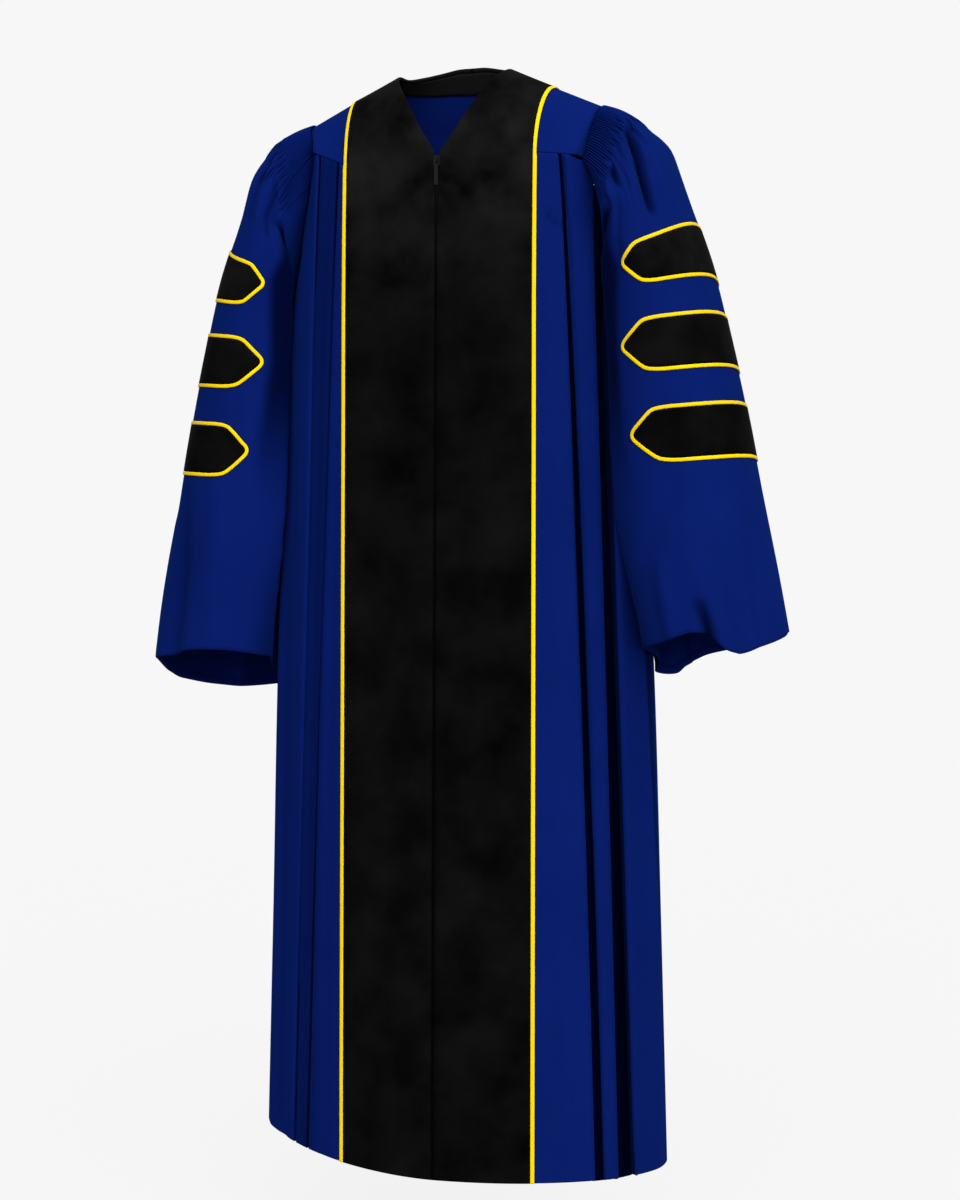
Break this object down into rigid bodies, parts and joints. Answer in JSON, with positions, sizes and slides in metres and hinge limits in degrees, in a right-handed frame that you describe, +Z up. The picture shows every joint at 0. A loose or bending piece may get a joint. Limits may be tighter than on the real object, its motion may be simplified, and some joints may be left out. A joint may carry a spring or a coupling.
{
  "type": "graduation gown",
  "caption": "Royal blue graduation gown with black velvet front panels, pointed sleeve bars and yellow piping, filled out as if worn.",
  "frame": {"origin": "where the gown hangs: midway between the two neck points, at the height of the top of the shoulders", "axes": "+X the wearer's left, +Y the wearer's back, +Z up"},
  "size_m": [0.8665, 0.2992, 1.4676],
  "materials": {
    "blue_satin": "satin",
    "black_velvet": "matte",
    "yellow_piping": "satin",
    "black_facing": "matte",
    "zip_tape_black": "matte",
    "black_metal": "satin"
  },
  "bodies": {
    "gown": {"front_left": "blue_satin", "front_right": "blue_satin", "back": "blue_satin", "yoke_left": "blue_satin", "yoke_right": "blue_satin", "yoke_back": "blue_satin", "sleeve_left": "blue_satin", "sleeve_right": "blue_satin", "neck_facing": "black_facing", "velvet_left": "black_velvet", "velvet_right": "black_velvet", "velvet_back": "black_velvet", "bar_left_1": "black_velvet", "bar_left_2": "black_velvet", "bar_left_3": "black_velvet", "bar_right_1": "black_velvet", "bar_right_2": "black_velvet", "bar_right_3": "black_velvet", "piping_left": "yellow_piping", "piping_right": "yellow_piping", "piping_back": "yellow_piping", "bar_piping_left_1": "yellow_piping", "bar_piping_left_2": "yellow_piping", "bar_piping_left_3": "yellow_piping", "bar_piping_right_1": "yellow_piping", "bar_piping_right_2": "yellow_piping", "bar_piping_right_3": "yellow_piping", "zip_tape": "zip_tape_black", "zip_slider": "black_metal"},
    "pull": {"zip_pull": "black_metal"}
  },
  "joints": [
    {"name": "zip_pull_hinge", "type": "hinge", "parent": "gown", "child": "pull", "pos_m": [0, -0.12067, -0.1342], "axis": [-1, 0, 0], "range_deg": [0, 150]}
  ]
}
